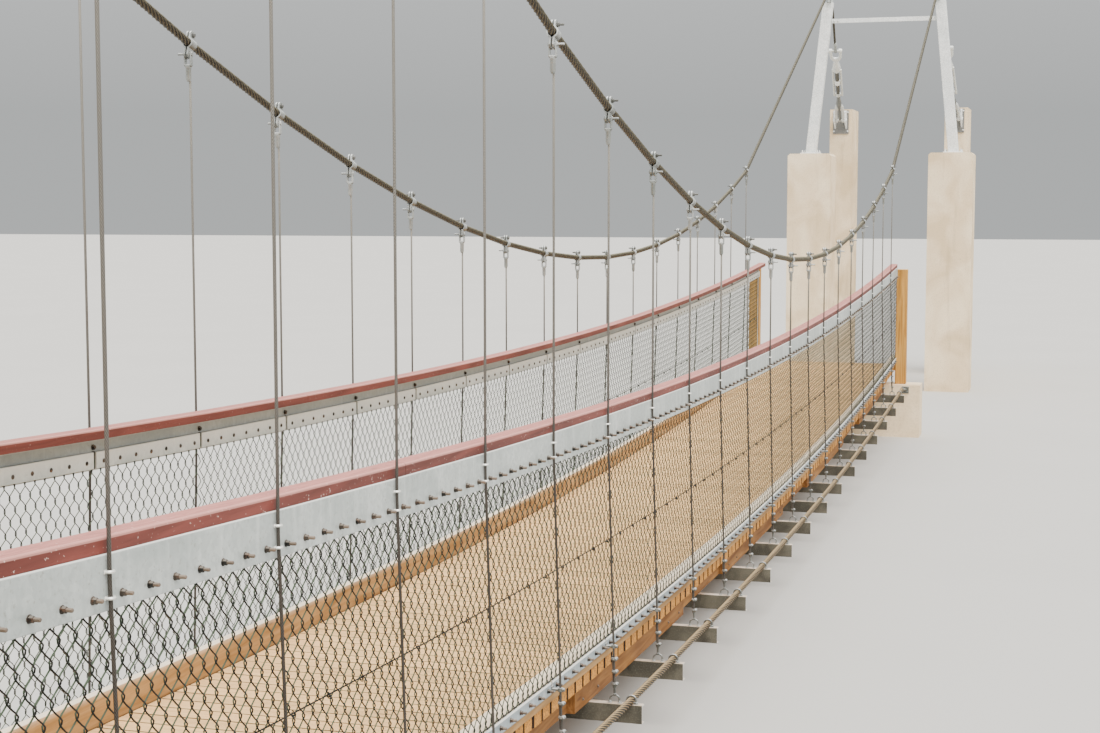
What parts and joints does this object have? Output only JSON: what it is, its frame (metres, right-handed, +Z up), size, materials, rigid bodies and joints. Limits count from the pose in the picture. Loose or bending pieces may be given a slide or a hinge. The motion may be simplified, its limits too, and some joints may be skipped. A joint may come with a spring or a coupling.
{
  "type": "rope suspension footbridge",
  "caption": "Suspension footbridge with wire rope main cables over short steel towers, thin hangers, a sagging timber deck, chain-link sides and lower stabilising ropes.",
  "frame": {"origin": "on the floor, midway between the towers and on the centre line", "axes": "+X along the span from the near bank to the far bank, +Y to the left, +Z up"},
  "size_m": [35.4, 3.01, 6.5841],
  "materials": {
    "wire_rope": "weathered stranded rope",
    "galvanised_steel": "dull zinc with faint mottling",
    "deck_timber": "grooved boards, dry",
    "edge_timber": "stained, weathered",
    "red_timber": "red-brown paint, small chips",
    "post_timber": "pale treated timber",
    "mesh_wire": "dark green coating",
    "concrete": "cast, fine texture"
  },
  "bodies": {
    "root": {"left_main_cable": "wire_rope", "right_main_cable": "wire_rope", "near_left_hangers_with_strip": "galvanised_steel", "far_left_hangers_with_strip": "galvanised_steel", "near_right_hangers_with_strip": "galvanised_steel", "far_right_hangers_with_strip": "galvanised_steel", "near_cross_members_with_ropes": "galvanised_steel", "middle_cross_members_with_ropes": "galvanised_steel", "far_cross_members_with_ropes": "galvanised_steel", "left_stringers": "edge_timber", "right_stringers": "edge_timber", "deck_boards_1": "deck_timber", "deck_boards_2": "deck_timber", "deck_boards_3": "deck_timber", "deck_boards_4": "deck_timber", "deck_boards_5": "deck_timber", "left_rail_plate": "galvanised_steel", "left_handrail_cap": "red_timber", "left_mesh_panel": "mesh_wire", "left_kickboard": "edge_timber", "right_rail_plate": "galvanised_steel", "right_handrail_cap": "red_timber", "right_mesh_panel": "mesh_wire", "right_kickboard": "edge_timber", "near_left_pier": "concrete", "near_left_tower_leg": "galvanised_steel", "near_left_saddle": "galvanised_steel", "near_right_pier": "concrete", "near_right_tower_leg": "galvanised_steel", "near_right_saddle": "galvanised_steel", "near_tower_crossbar": "galvanised_steel", "far_left_pier": "concrete", "far_left_tower_leg": "galvanised_steel", "far_left_saddle": "galvanised_steel", "far_right_pier": "concrete", "far_right_tower_leg": "galvanised_steel", "far_right_saddle": "galvanised_steel", "far_tower_crossbar": "galvanised_steel", "near_left_backstay": "wire_rope", "near_left_anchor_block": "concrete", "near_left_anchor_lugs": "galvanised_steel", "near_right_backstay": "wire_rope", "near_right_anchor_block": "concrete", "near_right_anchor_lugs": "galvanised_steel", "far_left_backstay": "wire_rope", "far_left_anchor_block": "concrete", "far_left_anchor_lugs": "galvanised_steel", "far_right_backstay": "wire_rope", "far_right_anchor_block": "concrete", "far_right_anchor_lugs": "galvanised_steel", "near_left_end_post": "post_timber", "near_right_end_post": "post_timber", "near_bank_seat": "concrete", "far_left_end_post": "post_timber", "far_right_end_post": "post_timber", "far_bank_seat": "concrete"}
  },
  "joints": []
}
